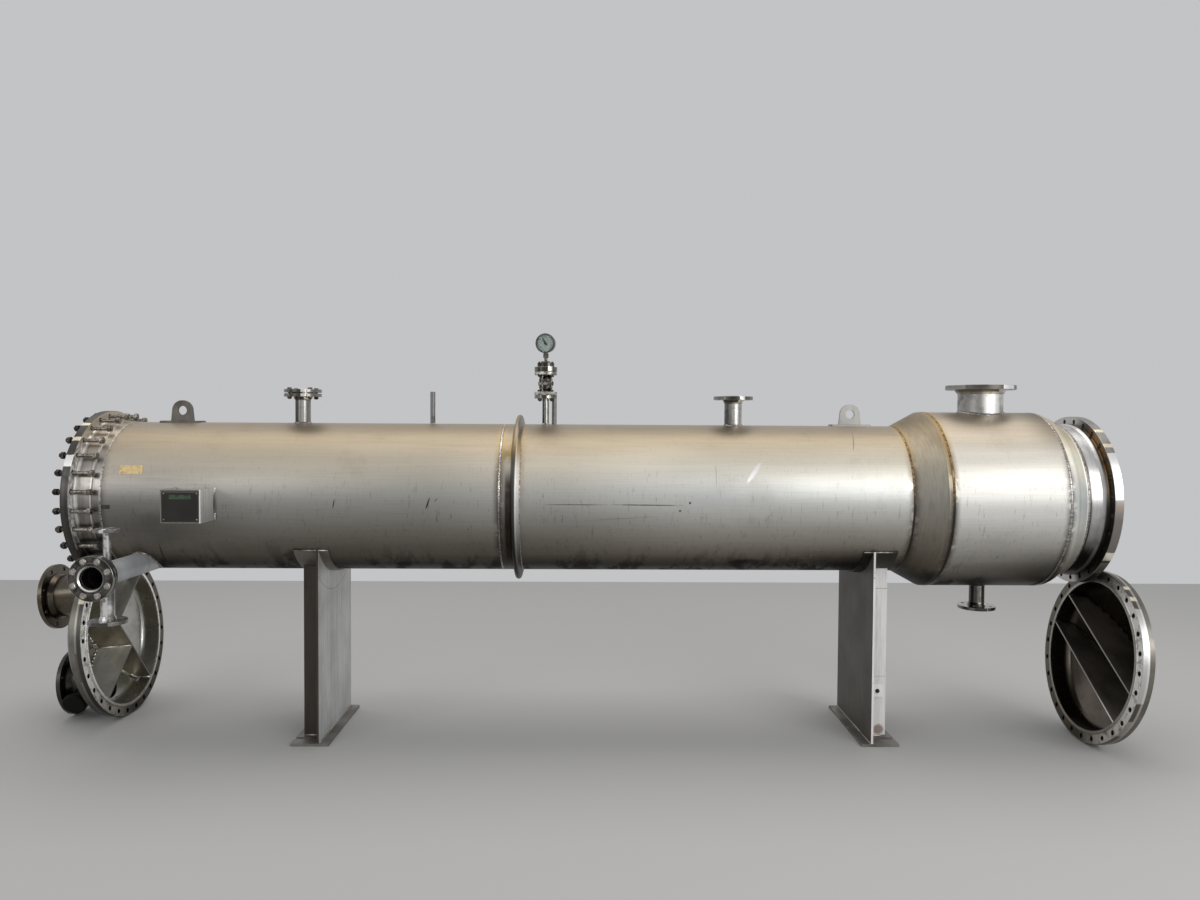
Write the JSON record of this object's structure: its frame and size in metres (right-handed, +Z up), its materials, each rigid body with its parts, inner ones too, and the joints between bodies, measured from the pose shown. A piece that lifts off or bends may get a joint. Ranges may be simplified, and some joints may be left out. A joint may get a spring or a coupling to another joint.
{
  "type": "shell and tube heat exchanger",
  "caption": "Horizontal shell and tube heat exchanger on two saddles, with expansion ring, enlarged end and both pass channels taken off and standing on the floor.",
  "frame": {"origin": "centre of the left saddle's base plate, on the floor", "axes": "+X along the vessel towards the enlarged end, +Z up, -Y the near side with the nameplate"},
  "size_m": [5.5481, 1.3209, 2.02],
  "materials": {
    "stainless": "satin rolled sheet with heat tint at the seams",
    "brushed_stainless": "brushed and ground",
    "turned_steel": "machined with fine turning rings",
    "polished_pipe": "polished drawn pipe",
    "saddle_plate": "pickled mill plate with rust spots",
    "tube_steel": "drawn tube ends",
    "bolting": "dull bolting steel",
    "valve_casting": "cast and blasted",
    "gauge_case_steel": "polished case, dark at the side",
    "dial_face": "printed dial",
    "gauge_glass": "clear",
    "black_plate": "black lacquered sheet",
    "black_plastic": "moulded cap"
  },
  "bodies": {
    "root": {"left_tubesheet": "turned_steel", "left_neck": "turned_steel", "shell_left": "stainless", "expansion_ring": "stainless", "shell_right": "stainless", "cone": "brushed_stainless", "enlarged_shell": "stainless", "end_reducer": "brushed_stainless", "right_neck": "turned_steel", "right_tubesheet": "turned_steel", "tubes": "tube_steel", "girth_studs": "bolting", "nozzle_a": "polished_pipe", "blind_flange_a": "polished_pipe", "nozzle_b": "polished_pipe", "nozzle_c": "polished_pipe", "drain_nozzle": "polished_pipe", "vent_tube": "polished_pipe", "level_tube": "polished_pipe", "front_nozzle": "polished_pipe", "front_counter_flange": "polished_pipe", "gauge_riser": "polished_pipe", "isolation_valve": "valve_casting", "diaphragm_seal": "turned_steel", "gauge_stem": "bolting", "gaskets": "black_plastic", "gauge_case": "gauge_case_steel", "gauge_dial": "dial_face", "gauge_glass": "gauge_glass", "lug_left": "stainless", "lug_right": "stainless", "nameplate_bracket": "brushed_stainless", "nameplate": "black_plate", "left_wear_plate": "brushed_stainless", "left_saddle_web": "saddle_plate", "left_saddle_base": "saddle_plate", "right_wear_plate": "brushed_stainless", "right_saddle_web": "saddle_plate", "right_saddle_base": "saddle_plate", "earthing_lug": "turned_steel", "left_channel_flange": "turned_steel", "left_channel_head": "brushed_stainless", "left_channel_partitions": "brushed_stainless", "left_inlet_nozzle": "polished_pipe", "left_outlet_nozzle": "polished_pipe", "left_channel_drain": "polished_pipe", "drain_cap": "black_plastic", "right_channel_flange": "turned_steel", "right_channel_head": "brushed_stainless", "right_channel_partitions": "brushed_stainless"}
  },
  "joints": []
}
